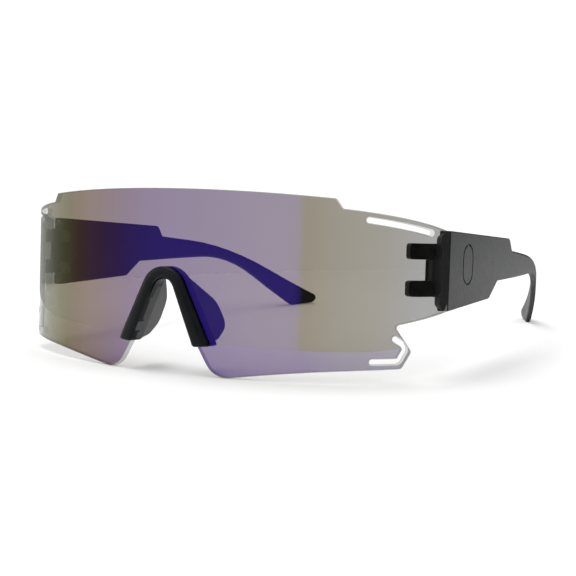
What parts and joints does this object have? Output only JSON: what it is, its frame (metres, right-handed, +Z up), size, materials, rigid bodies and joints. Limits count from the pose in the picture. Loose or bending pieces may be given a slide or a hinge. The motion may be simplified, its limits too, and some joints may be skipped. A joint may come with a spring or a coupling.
{
  "type": "wraparound sport sunglasses",
  "caption": "Rimless wraparound shield sunglasses: mirrored one-piece lens with slotted wings, black nose clip with pads, and stepped temples that fold on hinges.",
  "frame": {"origin": "middle of the footprint on the ground plane, with the glasses standing open on the lens lobes and the temple tips", "axes": "+X towards the wearer's left, -Y the way the wearer looks, +Z up"},
  "size_m": [0.1392, 0.1628, 0.0504],
  "materials": {
    "lens": "smoke tinted, blue-violet mirror coating",
    "frame_black": "satin moulded black nylon",
    "pad_rubber": "soft matt rubber",
    "temple_grey": "matt soft-touch dark grey",
    "hinge_steel": "turned steel"
  },
  "bodies": {
    "front": {"lens": "lens", "nose_saddle": "frame_black", "nose_pad_left": "pad_rubber", "nose_pad_right": "pad_rubber", "end_piece_left": "frame_black", "end_piece_right": "frame_black", "lens_stud_left_upper": "frame_black", "lens_stud_left_lower": "frame_black", "lens_stud_right_upper": "frame_black", "lens_stud_right_lower": "frame_black", "hinge_screw_left": "hinge_steel", "hinge_screw_right": "hinge_steel"},
    "left_temple": {"temple_left": "temple_grey"},
    "right_temple": {"temple_right": "temple_grey"}
  },
  "joints": [
    {"name": "temple_left_fold", "type": "hinge", "parent": "front", "child": "left_temple", "pos_m": [0.06451, -0.04644, 0.02839], "axis": [0, 0.0598, 0.9982], "range_deg": [0, 85]},
    {"name": "temple_right_fold", "type": "hinge", "parent": "front", "child": "right_temple", "pos_m": [-0.06451, -0.04644, 0.02839], "axis": [0, -0.0598, -0.9982], "range_deg": [0, 78]}
  ]
}
